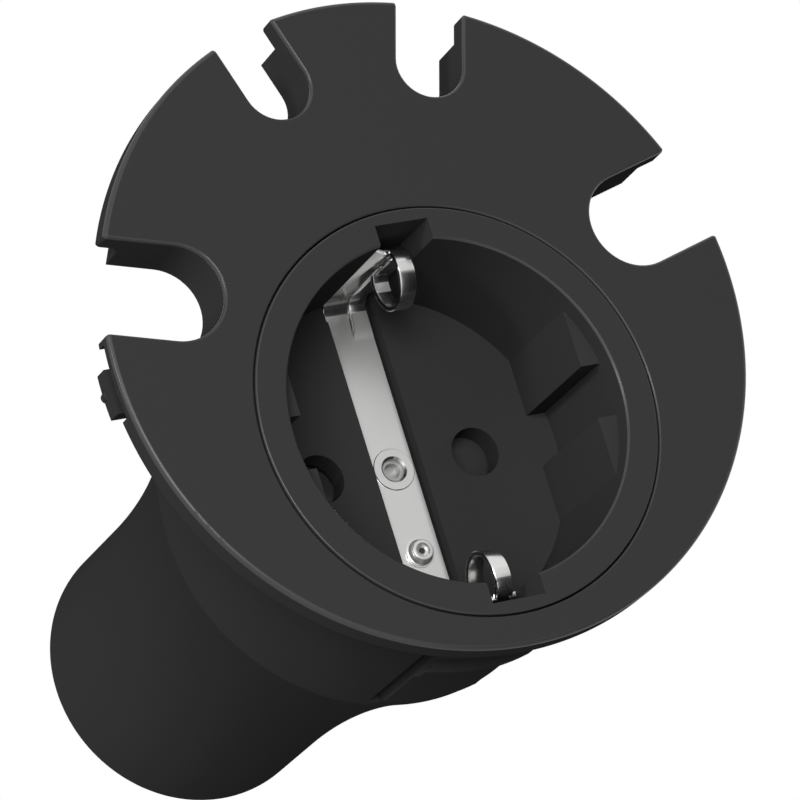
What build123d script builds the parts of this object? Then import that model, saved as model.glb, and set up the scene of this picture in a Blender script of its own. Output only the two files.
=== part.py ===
from build123d import *
import os
from math import cos, hypot, radians, sin, sqrt

# Built-in power socket for a round table or wall opening: a flange plate with four cable
# notches, a recessed two-pin socket insert with side earth clips, and a bottle-shaped rear hood.
# Lengths are in millimetres. The origin is the centre of the flange on its seating face,
# +Z points out of the socket face and +Y from the socket axis towards the flange centre.

# How far a cutting shape runs past the face it cuts
PAST = 1.0

# Flange plate
FLANGE_OVERHANG = 2.7
FLANGE_T = 2.7
RIM_FILLET = 0.6
MOUTH_FILLET = 0.5
SOCKET_Y = -10.33
INSERT_GAP = 0.2
INSERT_EDGE = 0.2
RELIEF_T = 1.4
RELIEF_FROM_Y = -4.8
RELIEF_TO_Y = 3.4
RELIEF_DEPTH = 2.0

# Cable notches, as the polar place of each round end, its radius and its angle
SMALL_NOTCH_R = 3.85
SMALL_NOTCH_PLACE = 30.0
SMALL_NOTCH_ANGLES = (72, 108)
LARGE_NOTCH_R = 5.35
LARGE_NOTCH_PLACE = 28.6
LARGE_NOTCH_ANGLES = (15, 165)

# Spigot under the flange, which drops into the table opening
SPIGOT_R = 34.3
SPIGOT_WALL = 1.6
SPIGOT_DEPTH = 4.3
COLLAR_WALL = 1.3
RIB_T = 1.4
RIB_ANGLES = (48, 90, 132)
CATCH_REACH = 1.7
CATCH_TOP = 2.3
CATCH_FROM_Y = -3.1
CATCH_TO_Y = 1.9
CATCH_BEAD_R = 0.6

# Socket insert: ring, well, floor and skirt
WELL_R = 19.4
WELL_WALL = 2.5
RING_LIP = 1.05
WELL_DEPTH = 17.6
WELL_EDGE = 0.4
FLOOR_T = 3.1
SKIRT_WALL = 2.0
SKIRT_END = 21.6
BOSS_R = 3.0
BOSS_PILOT_R = 1.1
SNAP_RIB_H = 0.5
SNAP_RIB_Z = -9.0
SNAP_RIB_LENGTH = 2.0
SNAP_RIB_ANGLE = 40.0

# Pin holes and side guides in the well
PIN_PITCH = 19.0
PIN_HOLE_R = 2.8
GUIDE_FLAT_IN = 2.5
GUIDE_TOP_DEPTH = 2.5
GUIDE_SLOT = 6.0
GUIDE_SINK = 0.5
EARTH_NOTCH_W = 6.3
EARTH_NOTCH_WALL = 0.4

# Earth strap with its two looped clips
STRAP_W = 5.3
STRAP_T = 0.7
STRAP_SINK = 1.3
STRAP_CLEARANCE = 0.3
RISER_FROM_WALL = 1.85
BEND_R = 2.2
SLIT_W = 0.25
SLIT_START_X = 0.0
SLIT_START_Y = 14.9
SLIT_X = 0.45
SLIT_BEND_Y = 18.1
POST_TOP = -3.2
POST_FOLD = 0.9
POST_TIP_FROM_X = -2.3
POST_TIP_TO_X = -0.6
POST_TIP_TOP = -0.2
LOOP_R = 3.6
LOOP_IN = 2.05
LOOP_Z = -3.8
LOOP_T = 0.6
LOOP_FROM_X = -0.45
LOOP_W = 1.93
LOOP_END_ANGLE = 290.0
FINGER_LEAN_Z = -12.0
FINGER_SHIFT_Z = -8.5
FINGER_LEAN = 0.8
COLLAR_R = 2.4
COLLAR_H = 0.2
TAPPED_R = 1.95
TAPPED_DEPTH = 0.9
TAPPED_GAP = 0.1
STRAP_HOLE_R = 1.35
STRAP_HOLE_DEPTH = 0.8
STRAP_HOLE_EDGE = 0.25
STRAP_CORE_R = 1.0
STRAP_CORE_DEPTH = 1.2

# Rivet and the earth link below the floor
RIVET_R = 1.2
RIVET_BORE = 0.45
RIVET_CUP_R = 0.9
RIVET_CUP_DEPTH = 0.7
RIVET_STANDS = 1.1
RIVET_FOOT_R = 1.6
RIVET_FOOT_H = 0.5
RIVET_FLARE_R = 1.9
RIVET_FLARE_T = 0.6
RIVET_BEND_GAP = 0.2
LINK_W = 5.0
LINK_T = 0.8
LINK_STEP_H = 0.5
EARTH_SCREW_GAP = 0.29

# Shutter under the pin holes
SHUTTER_GAP = 0.2
SHUTTER_ARM_R = 13.2
SHUTTER_HALF_ANGLE = 20.5
SHUTTER_HUB_R = 4.6
SHUTTER_T = 2.4
SHUTTER_HUB_T = 1.5
RAMP_LOW = 1.9
RAMP_FROM_Y = 1.15
PIVOT_R = 1.55
PIVOT_CLEARANCE = 0.05
PIVOT_SHORT = 0.1
SPRING_WIRE_R = 0.2
SPRING_COIL_R = 2.5
SPRING_TURNS = 1.75
SPRING_PITCH = 0.55
SPRING_GAP = 0.1
SPRING_ROOM_R = 3.4

# Contact carrier behind the floor
CARRIER_GAP = 0.2
CARRIER_FLANGE_T = 2.5
CARRIER_R = 17.4
CARRIER_END = 36.0
POCKET_R = 4.2
POCKET_MOUTH_R = 2.9
POCKET_SHELF = 1.6
SCREW_PLACE_R = 13.6
SCREW_ANGLES = (120, 300)
LINK_SLOT_CLEARANCE = 0.2
TAIL_W = 14.0
TAIL_T = 3.0
TAIL_Y = 10.5
TAIL_END = 64.0
SADDLE_LENGTH = 8.0
SADDLE_W = 18.0
CABLE_R = 3.6
CLAMP_GAP = 1.2
CLAMP_T = 5.2
CLAMP_LENGTH = 6.0
CLAMP_FILLET = 1.5

# Sleeve contacts, their steel rings and the three cage terminals
SLEEVE_BORE = 2.45
SLEEVE_WALL = 0.55
SLEEVE_END = 35.2
SLEEVE_MOUTH_R = 3.7
SLEEVE_MOUTH_H = 0.9
SLEEVE_SLIT = 0.9
TAIL_STRIP_W = 4.0
TAIL_STRIP_T = 0.8
TAIL_STRIP_OUT = 0.8
STRIP_BELOW_BAND = 0.4
RING_BAND_T = 0.45
RING_BAND_W = 3.4
RING_BAND_TOP = 26.8
CAGE_W = 6.6
CAGE_H = 7.2
CAGE_WIRE_ROOM = 2.7
CAGE_INNER_WALL = 1.2
CAGE_OUTER_WALL = 1.2
CAGE_SIDE_WALL = 1.2

# Screws
TERMINAL_SCREW_R = 1.5
TERMINAL_HEAD_R = 2.0
TERMINAL_HEAD_T = 1.3
CARRIER_SCREW_R = 1.1
CARRIER_HOLE_R = 1.45
CARRIER_HEAD_R = 2.6
CARRIER_HEAD_T = 1.8
CARRIER_CROSS = 1.8
CARRIER_SCREW_LENGTH = 13.0
CARRIER_SCREW_TIP = 0.6
PILOT_PAST_TIP = 0.6
HEAD_CLEARANCE = 0.2
CLAMP_SCREW_X = 6.6
CLAMP_SCREW_R = 1.3
CLAMP_HEAD_R = 2.3
CLAMP_HEAD_T = 1.6
CLAMP_SCREW_LENGTH = 9.5
DRIVE_SLOT_W = 0.7
DRIVE_SLOT_D = 0.7

# Rear hood
HOOD_WALL = 1.7
HOOD_STRAIGHT = 25.8
TUBE_R = 17.0
TUBE_LENGTH = 12.0
HOOD_END = 83.3
HOOD_FLOOR = 2.2
HOOD_EDGE = 0.4
LEDGE_W = 1.4
FIT_GAP = 0.1

# Sprung latch tongue in the -Y side of the hood
TONGUE_PROUD = 0.3
TONGUE_W = 11.4
TONGUE_END = 23.8
TONGUE_SLOT_W = 1.2
TONGUE_SLOT_END = 24.6
NOSE_PROUD = 1.3
NOSE_W = 13.0
NOSE_TOP = 9.0
NOSE_LOW = 11.3
NOSE_FLAT = 1.0
NOSE_FOOT = 15.2

# Cable bush in the rear end
BUSH_NECK_R = 5.2
BUSH_FLANGE_R = 6.8
BUSH_INNER_R = 6.4
BUSH_FILLET = 0.45
BUSH_OUTER_T = 1.0
BUSH_INNER_T = 1.2
BUSH_BORE_R = 3.3

# Sizes and levels worked out from the ones above
FLANGE_R = SPIGOT_R + FLANGE_OVERHANG
CATCH_R = SPIGOT_R + CATCH_REACH
SKIRT_R = WELL_R + WELL_WALL
RING_R = SKIRT_R + RING_LIP
GUIDE_FLAT_X = WELL_R - GUIDE_FLAT_IN
EARTH_NOTCH_REACH = SKIRT_R - EARTH_NOTCH_WALL
RISER_Y = EARTH_NOTCH_REACH - RISER_FROM_WALL
LOOP_Y = RISER_Y - LOOP_IN
CARRIER_FLANGE_R = SKIRT_R - CARRIER_GAP
HOOD_R = SKIRT_R + FIT_GAP + HOOD_WALL
TUBE_START = HOOD_END - TUBE_LENGTH
LEDGE_R = SKIRT_R + FIT_GAP - LEDGE_W
TONGUE_R = HOOD_R + TONGUE_PROUD
NOSE_R = HOOD_R + NOSE_PROUD
FACE_Z = FLANGE_T
FLOOR_Z = FACE_Z - WELL_DEPTH
FLOOR_UNDER_Z = FLOOR_Z - FLOOR_T
STRAP_TOP_Z = FLOOR_Z - STRAP_SINK
STRAP_UNDER_Z = STRAP_TOP_Z - STRAP_T
CARRIER_TOP_Z = -SKIRT_END
SHUTTER_TOP_Z = FLOOR_UNDER_Z - SHUTTER_GAP
PIN_X = PIN_PITCH / 2
BOSS_LENGTH = FLOOR_UNDER_Z - CARRIER_TOP_Z
SCREW_SEAT_Z = CARRIER_TOP_Z - CARRIER_SCREW_LENGTH + BOSS_LENGTH


def flare_at(depth, inward=0.0):
    """Radius of the hood's hollow flare at a depth, or of its inside at a wall's distance."""
    drop = TUBE_START - HOOD_STRAIGHT
    step = HOOD_R - TUBE_R
    flare = (drop ** 2 + step ** 2) / (2 * step)
    return TUBE_R + flare - sqrt((flare + inward) ** 2 - (TUBE_START - depth) ** 2)


# The earth screw's head stops just inside the hood, and the link and rivet keep to it
EARTH_SCREW_LOW = CARRIER_END + CAGE_H / 2 + TERMINAL_HEAD_R
EARTH_SCREW_END = flare_at(EARTH_SCREW_LOW, HOOD_WALL) - EARTH_SCREW_GAP
LINK_DROP_Y = TERMINAL_HEAD_T + CAGE_OUTER_WALL + CAGE_WIRE_ROOM + TAIL_STRIP_T - EARTH_SCREW_END
RIVET_Y = LINK_DROP_Y + RIVET_FLARE_R + RIVET_BEND_GAP


def at_socket(shape):
    """Move a shape drawn about the socket axis to its place under the flange."""
    return Pos(0, SOCKET_Y, 0) * shape


def disc(radius, top, bottom):
    """Upright cylinder between two levels."""
    return Pos(0, 0, bottom) * Cylinder(radius, top - bottom, align=(Align.CENTER, Align.CENTER, Align.MIN))


def tube(outer, inner, top, bottom):
    """Upright tube between two levels."""
    return disc(outer, top, bottom) - disc(inner, top + PAST, bottom - PAST)


def block(x0, x1, y0, y1, z0, z1):
    """Box between two corners."""
    return Pos(x0, y0, z0) * Box(x1 - x0, y1 - y0, z1 - z0, align=(Align.MIN, Align.MIN, Align.MIN))


def extruded(face, top, bottom):
    """Flat outline pushed from one level down to another."""
    return extrude(Pos(0, 0, bottom) * face, amount=top - bottom)


def notch_face(radius, place, angle, reach):
    """Open-ended slot with a round inner end, pointing outwards from the flange centre."""
    slot = Pos(place, 0) * Circle(radius)
    slot += Pos(place + reach / 2, 0) * Rectangle(reach, 2 * radius)
    return Rot(0, 0, angle) * slot


def all_notches(grow=0.0):
    """The four cable notches, or the same shapes grown by a wall thickness."""
    reach = 2 * FLANGE_R - LARGE_NOTCH_PLACE
    small = [notch_face(SMALL_NOTCH_R + grow, SMALL_NOTCH_PLACE, a, reach) for a in SMALL_NOTCH_ANGLES]
    large = [notch_face(LARGE_NOTCH_R + grow, LARGE_NOTCH_PLACE, a, reach) for a in LARGE_NOTCH_ANGLES]
    merged = Sketch()
    for face in small + large:
        merged += face
    return merged


def cover_flange():
    """Flange plate, spigot, notch walls, collar, ribs and the two side catches, moulded in one."""
    plate = disc(FLANGE_R, FACE_Z, 0)
    plate = fillet(plate.edges().group_by(Axis.Z)[-1], RIM_FILLET)
    notches = all_notches()
    plate -= extruded(notches, FACE_Z + PAST, -1)
    corners = plate.edges().filter_by(Axis.Z)
    plate = fillet([e for e in corners if hypot(e.center().X, e.center().Y) > SPIGOT_R], MOUTH_FILLET)

    collar_r = HOOD_R + FIT_GAP
    clear_of_hood = Pos(0, SOCKET_Y) * Circle(collar_r)
    spigot_face = Circle(SPIGOT_R) - Circle(SPIGOT_R - SPIGOT_WALL)
    spigot_face += (all_notches(SPIGOT_WALL) & Circle(SPIGOT_R))
    spigot_face += (Pos(0, SOCKET_Y) * Circle(collar_r + COLLAR_WALL)) & Circle(SPIGOT_R)
    for angle in RIB_ANGLES:
        rib = Rot(0, 0, angle) * (Pos(SPIGOT_R / 2, 0) * Rectangle(SPIGOT_R - SPIGOT_WALL, RIB_T))
        spigot_face += rib
    spigot_face -= notches
    spigot_face -= clear_of_hood
    tongue_room = Pos(0, SOCKET_Y - NOSE_R) * Rectangle(NOSE_W + 2 * TONGUE_SLOT_W, 2 * (NOSE_R - SKIRT_R))
    spigot_face -= tongue_room
    plate += extruded(spigot_face, 0, -SPIGOT_DEPTH)

    middle_y = (CATCH_FROM_Y + CATCH_TO_Y) / 2
    for side in (-1, 1):
        x0, x1 = sorted((side * (SPIGOT_R - SPIGOT_WALL), side * (CATCH_R + PAST)))
        catch = block(x0, x1, CATCH_FROM_Y, CATCH_TO_Y, -SPIGOT_DEPTH, -CATCH_TOP)
        bead_top = -(SPIGOT_DEPTH + CATCH_TOP) / 2
        x0, x1 = sorted((side * (FLANGE_R - RELIEF_DEPTH), side * (FLANGE_R + PAST)))
        plate -= block(x0, x1, RELIEF_FROM_Y, RELIEF_TO_Y, -PAST, FLANGE_T - RELIEF_T)
        plate += catch & disc(CATCH_R, 0, -SPIGOT_DEPTH)
        bead = disc(CATCH_BEAD_R, bead_top, -SPIGOT_DEPTH)
        plate += Pos(side * (CATCH_R - CATCH_BEAD_R / 2), middle_y) * bead
    plate -= at_socket(disc(RING_R + INSERT_GAP, FACE_Z + PAST, -PAST))
    circles = plate.edges().filter_by(GeomType.CIRCLE).group_by(Axis.Z)[-1]
    plate = chamfer([e for e in circles if RING_R < e.radius < HOOD_R], INSERT_EDGE)
    return plate


def guide_blocks():
    """The two pairs of flat-sided guides that keep a plug from turning in the well."""
    half_chord = sqrt(WELL_R ** 2 - GUIDE_FLAT_X ** 2)
    top = FACE_Z - GUIDE_TOP_DEPTH
    blocks = Part()
    for side in (-1, 1):
        x0, x1 = sorted((side * GUIDE_FLAT_X, side * (WELL_R + GUIDE_SINK)))
        pair = block(x0, x1, -half_chord - GUIDE_SINK, half_chord + GUIDE_SINK, FLOOR_Z - GUIDE_SINK, top)
        pair -= block(x0 - PAST, x1 + PAST, -GUIDE_SLOT / 2, GUIDE_SLOT / 2, FLOOR_Z - PAST, top + PAST)
        blocks += pair & disc(WELL_R + GUIDE_SINK, top + PAST, FLOOR_Z - PAST)
    return blocks


def screw_places():
    """Centres of the two carrier screws about the socket axis."""
    return [(SCREW_PLACE_R * cos(radians(a)), SCREW_PLACE_R * sin(radians(a))) for a in SCREW_ANGLES]


def socket_front():
    """Insert ring, well, floor with pin holes, guide blocks, skirt and screw bosses, moulded in one."""
    front = disc(RING_R, FACE_Z, 0) + disc(SKIRT_R, 0, -SKIRT_END)
    front -= disc(WELL_R, FACE_Z + PAST, FLOOR_Z)
    front -= disc(SKIRT_R - SKIRT_WALL, FLOOR_UNDER_Z, -SKIRT_END - PAST)
    rim = front.edges().filter_by(GeomType.CIRCLE).group_by(Axis.Z)[-1]
    front = chamfer([e for e in rim if e.radius < SKIRT_R], WELL_EDGE)
    rim = front.edges().filter_by(GeomType.CIRCLE).group_by(Axis.Z)[-1]
    front = chamfer([e for e in rim if e.radius > SKIRT_R], INSERT_EDGE)
    front += guide_blocks()
    for side in (-1, 1):
        y0, y1 = sorted((side * GUIDE_FLAT_X, side * EARTH_NOTCH_REACH))
        front -= block(-EARTH_NOTCH_W / 2, EARTH_NOTCH_W / 2, y0, y1, STRAP_UNDER_Z, FACE_Z + PAST)
        front -= Pos(side * PIN_X, 0, 0) * disc(PIN_HOLE_R, FACE_Z, FLOOR_UNDER_Z - PAST)
    groove_w = STRAP_W + 2 * STRAP_CLEARANCE
    reach = EARTH_NOTCH_REACH
    front -= block(-groove_w / 2, groove_w / 2, -reach, reach, STRAP_UNDER_Z, FLOOR_Z + PAST)
    front -= Pos(0, RIVET_Y, 0) * disc(RIVET_R, FLOOR_Z, FLOOR_UNDER_Z - PAST)
    front -= disc(TAPPED_R + TAPPED_GAP, FLOOR_Z, FLOOR_UNDER_Z - PAST)
    pilot_top = FLOOR_UNDER_Z + CARRIER_SCREW_TIP + PILOT_PAST_TIP
    for x, y in screw_places():
        front += Pos(x, y, 0) * disc(BOSS_R, FLOOR_UNDER_Z, CARRIER_TOP_Z)
        front -= Pos(x, y, 0) * disc(BOSS_PILOT_R, pilot_top, CARRIER_TOP_Z - PAST)
    snap_r = SKIRT_R + SNAP_RIB_H
    snap = tube(snap_r, WELL_R, SNAP_RIB_Z + SNAP_RIB_LENGTH / 2, SNAP_RIB_Z - SNAP_RIB_LENGTH / 2)
    snap -= disc(SKIRT_R - SKIRT_WALL / 2, 0, -SKIRT_END)
    half_w = snap_r * sin(radians(SNAP_RIB_ANGLE / 2))
    front += snap & block(-snap_r, snap_r, -half_w, half_w, -SKIRT_END, 0)
    return at_socket(front)


def ring_sector(inner, outer, angle):
    """Ring from the outer side over the top and round to an angle, drawn in Y and Z."""
    corners = [(0, 0)]
    for step in range(6):
        turn = radians(angle * step / 5)
        corners.append((2 * outer * cos(turn), 2 * outer * sin(turn)))
    return (Circle(outer) - Circle(inner)) & make_face(Polyline(corners, close=True))


def strap_slit():
    """Slit that parts the post from the finger: slanted in the flat strap, upright in the riser."""
    half = SLIT_W / 2
    slit = make_face(
        Polyline(
            (SLIT_START_X - half, SLIT_START_Y),
            (SLIT_START_X + half, SLIT_START_Y),
            (SLIT_X + half, SLIT_BEND_Y),
            (SLIT_X + half, EARTH_NOTCH_REACH),
            (SLIT_X - half, EARTH_NOTCH_REACH),
            (SLIT_X - half, SLIT_BEND_Y),
            close=True,
        )
    )
    return extruded(slit, STRAP_UNDER_Z + BEND_R, STRAP_UNDER_Z - PAST)


def clip_finger():
    """Half of a strap end: a riser that leans out, shifts and rolls over into the contact loop."""
    low_x = SLIT_X + SLIT_W / 2
    high_w = STRAP_W / 2 - low_x
    low_z = STRAP_UNDER_Z + BEND_R
    riser = block(low_x, STRAP_W / 2, RISER_Y, RISER_Y + STRAP_T, low_z, FINGER_LEAN_Z)

    def slice_at(x0, width, y0, thickness, z):
        """Section of the riser at one level."""
        return Pos(x0 + width / 2, y0 + thickness / 2, z) * Rectangle(width, thickness)

    start = slice_at(low_x, high_w, RISER_Y, STRAP_T, FINGER_LEAN_Z)
    leant = slice_at(low_x, high_w, RISER_Y + FINGER_LEAN, STRAP_T, FINGER_SHIFT_Z)
    shifted = slice_at(LOOP_FROM_X, LOOP_W, LOOP_Y + LOOP_R - LOOP_T, LOOP_T, LOOP_Z)
    riser += loft([start, leant])
    riser += loft([leant, shifted])
    ring = ring_sector(LOOP_R - LOOP_T, LOOP_R, LOOP_END_ANGLE)
    ring = extrude(Plane.YZ * (Pos(LOOP_Y, LOOP_Z) * ring), amount=LOOP_W)
    return riser + Pos(LOOP_FROM_X, 0, 0) * ring


def clip_post():
    """Other half of a strap end: the straight post with a folded edge and a rounded, narrower tip."""
    x0 = -STRAP_W / 2
    low_z = STRAP_UNDER_Z + BEND_R
    post = block(x0, SLIT_X - SLIT_W / 2, RISER_Y, RISER_Y + STRAP_T, low_z, POST_TOP)
    tip_z = POST_TIP_TOP - STRAP_T / 2
    post += block(POST_TIP_FROM_X, POST_TIP_TO_X, RISER_Y, RISER_Y + STRAP_T, POST_TOP, tip_z)
    curl = rod_along_x(STRAP_T / 2, POST_TIP_TO_X - POST_TIP_FROM_X)
    post += Pos(POST_TIP_FROM_X, RISER_Y + STRAP_T / 2, tip_z) * curl
    fold = make_face(
        Polyline(
            (RISER_Y + STRAP_T, low_z),
            (RISER_Y, low_z),
            (RISER_Y - POST_FOLD, POST_TOP),
            (RISER_Y + STRAP_T, POST_TOP),
            close=True,
        )
    )
    return post + Pos(x0, 0, 0) * extrude(Plane.YZ * fold, amount=STRAP_T)


def strap_bend():
    """Quarter bend where the strap turns up from the floor groove into the ring notch."""
    centre_y = RISER_Y + STRAP_T - BEND_R
    centre_z = STRAP_UNDER_Z + BEND_R
    ring = Circle(BEND_R) - Circle(BEND_R - STRAP_T)
    quarter = ring & (Pos(BEND_R / 2, -BEND_R / 2) * Rectangle(BEND_R, BEND_R))
    bend = extrude(Plane.YZ * (Pos(centre_y, centre_z) * quarter), amount=STRAP_W)
    return Pos(-STRAP_W / 2, 0, 0) * bend


def earth_strap():
    """One nickel-plated stamping: flat strap, tapped collar, and a slit clip at each end."""
    flat_y = RISER_Y + STRAP_T - BEND_R
    strap = block(-STRAP_W / 2, STRAP_W / 2, -flat_y, flat_y, STRAP_UNDER_Z, STRAP_TOP_Z)
    strap += disc(COLLAR_R, STRAP_TOP_Z + COLLAR_H, STRAP_TOP_Z - 0.1)
    strap += disc(TAPPED_R, STRAP_TOP_Z, STRAP_UNDER_Z - TAPPED_DEPTH)
    bend = strap_bend() - strap_slit()
    strap -= strap_slit() + mirror(strap_slit(), about=Plane.XZ)
    for piece in (bend, clip_post(), clip_finger()):
        strap += piece
        strap += mirror(piece, about=Plane.XZ)
    mouth_z = STRAP_TOP_Z + COLLAR_H
    strap -= disc(STRAP_HOLE_R, mouth_z + PAST, STRAP_TOP_Z - STRAP_HOLE_DEPTH)
    strap -= disc(STRAP_CORE_R, mouth_z, STRAP_TOP_Z - STRAP_CORE_DEPTH)
    circles = strap.edges().filter_by(GeomType.CIRCLE)
    rim = circles.filter_by_position(Axis.Z, mouth_z - FIT_GAP, mouth_z + FIT_GAP)
    strap = chamfer(rim.sort_by(SortBy.RADIUS)[0], STRAP_HOLE_EDGE)
    strap -= Pos(0, RIVET_Y, 0) * disc(RIVET_R, STRAP_TOP_Z + PAST, STRAP_UNDER_Z - PAST)
    return at_socket(strap)


def earth_rivet():
    """Hollow rivet with a cupped end that ties the strap through the floor to the earth link."""
    under = FLOOR_UNDER_Z - LINK_T
    top = STRAP_TOP_Z + RIVET_STANDS
    rivet = disc(RIVET_R, top, under)
    foot = Cone(RIVET_FOOT_R, RIVET_R, RIVET_FOOT_H, align=(Align.CENTER, Align.CENTER, Align.MIN))
    rivet += Pos(0, 0, STRAP_TOP_Z) * foot
    rivet += disc(RIVET_FLARE_R, under, under - RIVET_FLARE_T)
    rivet -= disc(RIVET_CUP_R, top + PAST, top - RIVET_CUP_DEPTH)
    rivet -= disc(RIVET_BORE, top + PAST, under - RIVET_FLARE_T - PAST)
    return at_socket(Pos(0, RIVET_Y, 0) * rivet)


def earth_link():
    """Bent strip from the rivet down through the carrier into the earth terminal."""
    back_y = LINK_DROP_Y - LINK_T
    step_z = -CARRIER_END + LINK_STEP_H
    half_w = LINK_W / 2
    half_strip = TAIL_STRIP_W / 2
    link = block(-half_w, half_w, back_y, RIVET_Y + half_w, FLOOR_UNDER_Z - LINK_T, FLOOR_UNDER_Z)
    link += block(-half_w, half_w, back_y, LINK_DROP_Y, step_z, FLOOR_UNDER_Z)
    link += block(-half_strip, half_strip, back_y, LINK_DROP_Y, cage_bottom() - TAIL_STRIP_OUT, step_z)
    link -= Pos(0, RIVET_Y, 0) * disc(RIVET_R, FLOOR_UNDER_Z + PAST, FLOOR_UNDER_Z - LINK_T - PAST)
    return at_socket(link)


def arm_face(half_angle, inner, outer):
    """Flat sector about the X axis between two radii."""
    reach = outer * 2
    wedge = make_face(
        Polyline(
            (0, 0),
            (reach * cos(radians(half_angle)), -reach * sin(radians(half_angle))),
            (reach * cos(radians(half_angle)), reach * sin(radians(half_angle))),
            close=True,
        )
    )
    return wedge & (Circle(outer) - Circle(inner))


def shutter():
    """Two-armed rotary shutter: its arms lie under the pin holes and slide away on their ramps."""
    bottom = SHUTTER_TOP_Z - SHUTTER_T
    body = extruded(Circle(SHUTTER_HUB_R), SHUTTER_TOP_Z, SHUTTER_TOP_Z - SHUTTER_HUB_T)
    for turn in (0, 180):
        arm = extruded(arm_face(SHUTTER_HALF_ANGLE, PIVOT_R, SHUTTER_ARM_R), SHUTTER_TOP_Z, bottom)
        half_w = SHUTTER_ARM_R * sin(radians(SHUTTER_HALF_ANGLE))
        ramp = make_face(
            Polyline(
                (-half_w - PAST, SHUTTER_TOP_Z + PAST),
                (RAMP_FROM_Y, SHUTTER_TOP_Z + PAST),
                (RAMP_FROM_Y, SHUTTER_TOP_Z),
                (-half_w - PAST, SHUTTER_TOP_Z - RAMP_LOW),
                close=True,
            )
        )
        ramp = Pos(SHUTTER_HUB_R, 0, 0) * extrude(Plane.YZ * ramp, amount=SHUTTER_ARM_R)
        body += Rot(0, 0, turn) * (arm - ramp)
    body -= disc(SPRING_ROOM_R, SHUTTER_TOP_Z - SHUTTER_HUB_T, bottom - PAST)
    body -= disc(PIVOT_R + PIVOT_CLEARANCE, SHUTTER_TOP_Z + PAST, bottom - PAST)
    return at_socket(body)


def shutter_spring():
    """Torsion spring round the pivot that turns the shutter back over the pin holes."""
    height = SPRING_PITCH * SPRING_TURNS
    coil_z = CARRIER_TOP_Z + SPRING_WIRE_R + SPRING_GAP
    path = Helix(SPRING_PITCH, height, SPRING_COIL_R)
    start = path @ 0
    section = Plane(origin=start, z_dir=path % 0) * Circle(SPRING_WIRE_R)
    coil = sweep(section, path=path, is_frenet=True)
    return at_socket(Pos(0, 0, coil_z) * coil)


def contact_carrier():
    """Moulded carrier: flange, contact pockets, pivot, and the tail with the cable saddle."""
    end = -CARRIER_END
    carrier = disc(CARRIER_FLANGE_R, CARRIER_TOP_Z, CARRIER_TOP_Z - CARRIER_FLANGE_T)
    carrier += disc(CARRIER_R, CARRIER_TOP_Z - CARRIER_FLANGE_T, end)
    carrier += disc(PIVOT_R, SHUTTER_TOP_Z - PIVOT_SHORT, CARRIER_TOP_Z)
    for side in (-1, 1):
        place = Pos(side * PIN_X, 0, 0)
        carrier -= place * disc(POCKET_MOUTH_R, CARRIER_TOP_Z + PAST, end - PAST)
        carrier -= place * disc(POCKET_R, CARRIER_TOP_Z - POCKET_SHELF, end - PAST)
    slot_w = LINK_W + 2 * LINK_SLOT_CLEARANCE
    carrier -= block(
        -slot_w / 2,
        slot_w / 2,
        LINK_DROP_Y - LINK_T - LINK_SLOT_CLEARANCE,
        LINK_DROP_Y + LINK_SLOT_CLEARANCE,
        end - PAST,
        CARRIER_TOP_Z + PAST,
    )
    for x, y in screw_places():
        carrier -= Pos(x, y, 0) * disc(CARRIER_HOLE_R, CARRIER_TOP_Z + PAST, end - PAST)
        carrier -= Pos(x, y, 0) * disc(CARRIER_HEAD_R + HEAD_CLEARANCE, SCREW_SEAT_Z, end - PAST)
    tail = block(-TAIL_W / 2, TAIL_W / 2, TAIL_Y - TAIL_T / 2, TAIL_Y + TAIL_T / 2, -TAIL_END, end + PAST)
    saddle = block(
        -SADDLE_W / 2, SADDLE_W / 2, CLAMP_GAP / 2, TAIL_Y + TAIL_T / 2, -TAIL_END, -TAIL_END + SADDLE_LENGTH
    )
    carrier += tail + saddle
    carrier -= disc(CABLE_R, end - PAST, -TAIL_END - PAST)
    hole = Rot(-90, 0, 0) * Cylinder(CLAMP_SCREW_R, 2 * clamp_reach())
    for side in (-1, 1):
        carrier -= Pos(side * CLAMP_SCREW_X, 0, clamp_z()) * hole
    return at_socket(carrier)


def clamp_z():
    """Level of the two clamp screws."""
    return -TAIL_END + SADDLE_LENGTH / 2


def clamp_reach():
    """How far the clamp screws reach into the saddle past the cable axis."""
    return CLAMP_SCREW_LENGTH - CLAMP_T - CLAMP_GAP / 2


def pin_contact(side):
    """Rolled brass sleeve with a flared mouth, a long slit and the tail strip to its terminal."""
    top = CARRIER_TOP_Z - POCKET_SHELF
    outer = SLEEVE_BORE + SLEEVE_WALL
    half_strip = TAIL_STRIP_W / 2
    strip_top = -RING_BAND_TOP - RING_BAND_W - STRIP_BELOW_BAND
    strip_end = cage_bottom() - TAIL_STRIP_OUT
    mouth = Cone(outer, SLEEVE_MOUTH_R, SLEEVE_MOUTH_H)
    flare = Cone(SLEEVE_BORE, SLEEVE_MOUTH_R - SLEEVE_WALL, SLEEVE_MOUTH_H)
    mouth_z = top - SLEEVE_MOUTH_H / 2
    sleeve = disc(outer, mouth_z, -SLEEVE_END) + Pos(0, 0, mouth_z) * mouth
    sleeve += block(-outer, -outer + TAIL_STRIP_T, -half_strip, half_strip, strip_end, strip_top)
    sleeve -= disc(SLEEVE_BORE, top + PAST, -SLEEVE_END)
    sleeve -= Pos(0, 0, mouth_z) * flare
    half_slit = SLEEVE_SLIT / 2
    sleeve -= block(0, SLEEVE_MOUTH_R + PAST, -half_slit, half_slit, -SLEEVE_END - PAST, top + PAST)
    if side < 0:
        sleeve = mirror(sleeve, about=Plane.YZ)
    return at_socket(Pos(side * PIN_X, 0, 0) * sleeve)


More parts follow.
